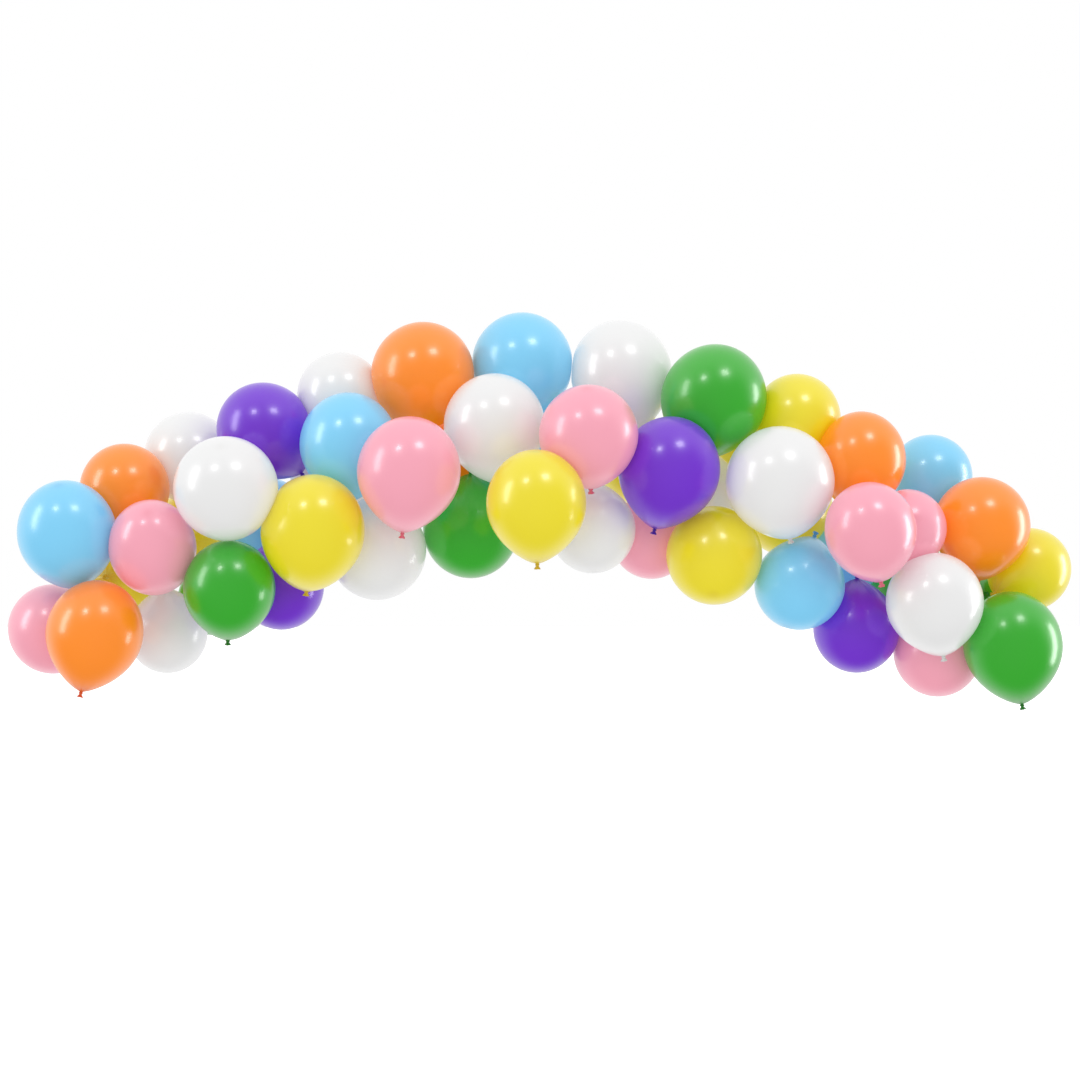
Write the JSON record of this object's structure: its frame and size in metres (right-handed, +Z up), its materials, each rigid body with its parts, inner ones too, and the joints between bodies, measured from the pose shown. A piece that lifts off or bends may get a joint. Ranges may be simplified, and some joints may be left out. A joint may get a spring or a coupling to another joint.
{
  "type": "balloon garland",
  "caption": "Arch-shaped garland of knotted latex balloons in mixed colours, packed tight and made to hang flat on a wall.",
  "frame": {"origin": "hanging point, on the garland's line at the crown of the arch", "axes": "+X to the viewer's right along the garland, +Y back to the wall, +Z up"},
  "size_m": [2.9796, 0.812, 1.1122],
  "materials": {
    "white": "semi-gloss pearl latex",
    "orange": "semi-gloss latex",
    "blue": "semi-gloss latex",
    "pink": "semi-gloss latex",
    "purple": "semi-gloss latex",
    "green": "semi-gloss latex",
    "yellow": "semi-gloss latex"
  },
  "bodies": {
    "root": {"blue_balloon_1": "blue", "blue_balloon_2": "blue", "blue_balloon_3": "blue", "blue_balloon_4": "blue", "blue_balloon_5": "blue", "blue_balloon_6": "blue", "blue_balloon_7": "blue", "blue_balloon_8": "blue", "green_balloon_1": "green", "green_balloon_2": "green", "green_balloon_3": "green", "green_balloon_4": "green", "green_balloon_5": "green", "green_balloon_6": "green", "green_balloon_7": "green", "orange_balloon_1": "orange", "orange_balloon_2": "orange", "orange_balloon_3": "orange", "orange_balloon_4": "orange", "orange_balloon_5": "orange", "orange_balloon_6": "orange", "pink_balloon_1": "pink", "pink_balloon_2": "pink", "pink_balloon_3": "pink", "pink_balloon_4": "pink", "pink_balloon_5": "pink", "pink_balloon_6": "pink", "pink_balloon_7": "pink", "pink_balloon_8": "pink", "purple_balloon_1": "purple", "purple_balloon_2": "purple", "purple_balloon_3": "purple", "purple_balloon_4": "purple", "white_balloon_1": "white", "white_balloon_2": "white", "white_balloon_3": "white", "white_balloon_4": "white", "white_balloon_5": "white", "white_balloon_6": "white", "white_balloon_7": "white", "white_balloon_8": "white", "white_balloon_9": "white", "white_balloon_10": "white", "white_balloon_11": "white", "white_balloon_12": "white", "yellow_balloon_1": "yellow", "yellow_balloon_2": "yellow", "yellow_balloon_3": "yellow", "yellow_balloon_4": "yellow", "yellow_balloon_5": "yellow", "yellow_balloon_6": "yellow", "yellow_balloon_7": "yellow", "yellow_balloon_8": "yellow", "yellow_balloon_9": "yellow", "yellow_balloon_10": "yellow"}
  },
  "joints": []
}
